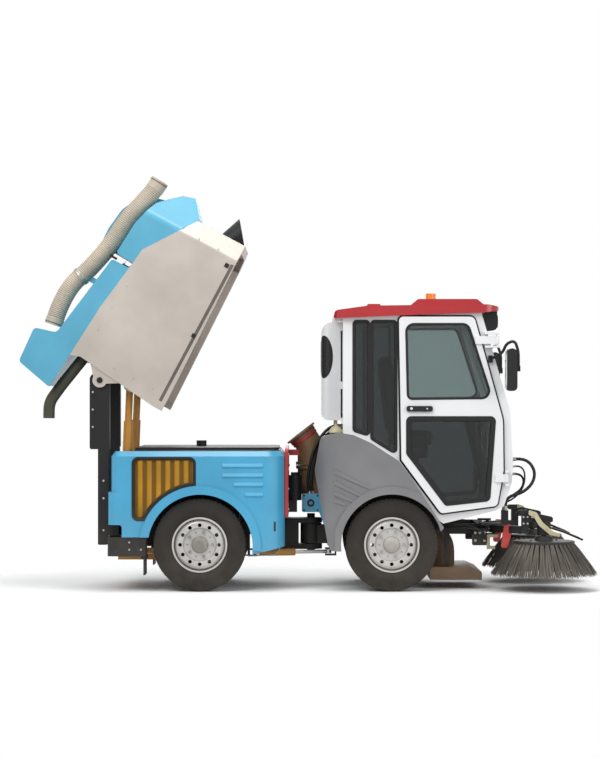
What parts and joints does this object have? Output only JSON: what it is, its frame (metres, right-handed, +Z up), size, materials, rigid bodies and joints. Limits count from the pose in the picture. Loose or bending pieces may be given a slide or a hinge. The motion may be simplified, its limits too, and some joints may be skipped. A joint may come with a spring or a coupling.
{
  "type": "articulated street sweeper",
  "caption": "Compact articulated street sweeper with tipping hopper, suction duct, glazed cab and side brooms.",
  "frame": {"origin": "ground point under the middle of the overall box, hopper tipped up, brooms at rest", "axes": "+X forward, +Y to the vehicle's left, +Z up"},
  "size_m": [3.9898, 1.5438, 2.8785],
  "materials": {
    "blue_paint": "gloss",
    "blue_plastic": "gloss",
    "white_paint": "gloss",
    "grey_plastic": "satin",
    "red_paint": "gloss",
    "black_steel": "satin",
    "cast_dark": "matte",
    "stainless": "satin",
    "orange_paint": "satin",
    "yellow_plastic": "satin",
    "duct_brown": "satin",
    "tyre_rubber": "matte",
    "rim_silver": "satin",
    "black_rubber": "matte",
    "black_plastic": "matte",
    "beige_hose": "matte",
    "olive_pipe": "matte",
    "cab_glass": "gloss",
    "amber_lens": "gloss",
    "bristle_grey": "matte",
    "seat_fabric": "matte"
  },
  "bodies": {
    "rear_chassis": {"rear_frame": "black_steel", "rear_axle": "cast_dark", "rear_panels": "blue_paint", "side_grilles": "yellow_plastic", "deck": "black_steel", "engine_block": "cast_dark", "end_frame": "red_paint", "air_filter": "black_plastic", "rear_bumper": "black_plastic", "tow_beam": "orange_paint", "tip_mast": "black_steel", "upper_duct": "duct_brown"},
    "hopper": {"hopper_shell": "stainless", "hopper_frame": "stainless", "cover_rear": "blue_plastic", "cover_front": "blue_plastic", "wander_hose": "beige_hose", "inlet_funnel": "black_rubber", "drain_pipe": "olive_pipe"},
    "dump_flap": {"dump_door": "stainless"},
    "tip_cylinder_barrels": {"tip_barrels": "orange_paint"},
    "tip_cylinder_rods": {"tip_rods": "orange_paint"},
    "steer_cylinder_barrel": {"steer_barrel": "orange_paint"},
    "steer_cylinder_rod": {"steer_rod": "rim_silver"},
    "front_chassis": {"front_frame": "black_steel", "front_axle": "cast_dark", "lower_duct": "duct_brown", "suction_mouth": "duct_brown", "cab_shell": "white_paint", "cab_roof": "red_paint", "beacon": "amber_lens", "lamp_pods": "black_plastic", "windscreen": "cab_glass", "cab_glass": "cab_glass", "front_fenders": "grey_plastic", "climate_unit": "white_paint", "seat": "seat_fabric", "steering_column": "black_plastic", "mirrors": "black_plastic", "front_hose_big": "black_rubber", "front_hose_small": "black_rubber"},
    "rear_wheel_right": {"tyre_rear_right": "tyre_rubber", "rim_rear_right": "rim_silver"},
    "rear_wheel_left": {"tyre_rear_left": "tyre_rubber", "rim_rear_left": "rim_silver"},
    "front_wheel_right": {"tyre_front_right": "tyre_rubber", "rim_front_right": "rim_silver"},
    "front_wheel_left": {"tyre_front_left": "tyre_rubber", "rim_front_left": "rim_silver"},
    "right_door": {"door_right": "white_paint", "door_glass_right": "cab_glass"},
    "right_broom_arm": {"broom_arm_right": "black_steel"},
    "right_broom": {"broom_right": "bristle_grey"},
    "left_door": {"door_left": "white_paint", "door_glass_left": "cab_glass"},
    "left_broom_arm": {"broom_arm_left": "black_steel"},
    "left_broom": {"broom_left": "bristle_grey"}
  },
  "joints": [
    {"name": "articulation", "type": "hinge", "parent": "rear_chassis", "child": "front_chassis", "pos_m": [0.00991, 0, 0.37], "axis": [0, 0, 1], "range_deg": [-24, 24]},
    {"name": "hopper_tip", "type": "hinge", "parent": "rear_chassis", "child": "hopper", "pos_m": [-1.44609, 0, 1.452], "axis": [0, 1, 0], "range_deg": [0, 62]},
    {"name": "tip_barrel_swing", "type": "hinge", "parent": "rear_chassis", "child": "tip_cylinder_barrels", "pos_m": [-1.28909, 0, 0.45], "axis": [0, 1, 0], "range_deg": [-10.07, 0.2]},
    {"name": "tip_rod_slide", "type": "slide", "parent": "tip_cylinder_barrels", "child": "tip_cylinder_rods", "axis": [0.041, 0, 0.9992], "range_m": [-0.1431, 0.001]},
    {"name": "steer_barrel_swing", "type": "hinge", "parent": "rear_chassis", "child": "steer_cylinder_barrel", "pos_m": [-0.38209, -0.235, 0.248], "axis": [0, 0, 1], "range_deg": [-4.37, 4.37]},
    {"name": "steer_rod_slide", "type": "slide", "parent": "steer_cylinder_barrel", "child": "steer_cylinder_rod", "axis": [0.9795, 0.2012, 0], "range_m": [-0.0633, 0.0633]},
    {"name": "dump_flap_hinge", "type": "hinge", "parent": "hopper", "child": "dump_flap", "pos_m": [-1.54097, 0, 1.59306], "axis": [0, 1, 0], "range_deg": [0, 62]},
    {"name": "rear_wheel_right_spin", "type": "hinge", "parent": "rear_chassis", "child": "rear_wheel_right", "pos_m": [-0.75609, -0.48, 0.321], "axis": [0, 1, 0], "continuous": true},
    {"name": "rear_wheel_left_spin", "type": "hinge", "parent": "rear_chassis", "child": "rear_wheel_left", "pos_m": [-0.75609, 0.48, 0.321], "axis": [0, 1, 0], "continuous": true},
    {"name": "front_wheel_right_spin", "type": "hinge", "parent": "front_chassis", "child": "front_wheel_right", "pos_m": [0.56291, -0.48, 0.321], "axis": [0, 1, 0], "continuous": true},
    {"name": "front_wheel_left_spin", "type": "hinge", "parent": "front_chassis", "child": "front_wheel_left", "pos_m": [0.56291, 0.48, 0.321], "axis": [0, 1, 0], "continuous": true},
    {"name": "right_door_hinge", "type": "hinge", "parent": "front_chassis", "child": "right_door", "pos_m": [1.31641, -0.59, 1.2535], "axis": [-0.0685, 0, 0.9977], "range_deg": [0, 70]},
    {"name": "right_broom_swing", "type": "hinge", "parent": "front_chassis", "child": "right_broom_arm", "pos_m": [1.28391, -0.26, 0.415], "axis": [0, 0, -1], "range_deg": [-3, 20]},
    {"name": "right_broom_spin", "type": "hinge", "parent": "right_broom_arm", "child": "right_broom", "pos_m": [1.62291, -0.4, 0.35], "axis": [0, 0, 1], "continuous": true},
    {"name": "left_door_hinge", "type": "hinge", "parent": "front_chassis", "child": "left_door", "pos_m": [1.31641, 0.59, 1.2535], "axis": [0.0685, 0, -0.9977], "range_deg": [0, 70]},
    {"name": "left_broom_swing", "type": "hinge", "parent": "front_chassis", "child": "left_broom_arm", "pos_m": [1.28391, 0.26, 0.415], "axis": [0, 0, 1], "range_deg": [-3, 20]},
    {"name": "left_broom_spin", "type": "hinge", "parent": "left_broom_arm", "child": "left_broom", "pos_m": [1.62291, 0.4, 0.35], "axis": [0, 0, 1], "continuous": true}
  ],
  "couplings": [
    {"joint": "tip_barrel_swing", "follows": "hopper_tip", "ratio": -0.1592},
    {"joint": "tip_rod_slide", "follows": "hopper_tip", "m_per_rad": -0.13128},
    {"joint": "steer_barrel_swing", "follows": "articulation", "ratio": 0.1738},
    {"joint": "steer_rod_slide", "follows": "articulation", "m_per_rad": 0.14883}
  ]
}
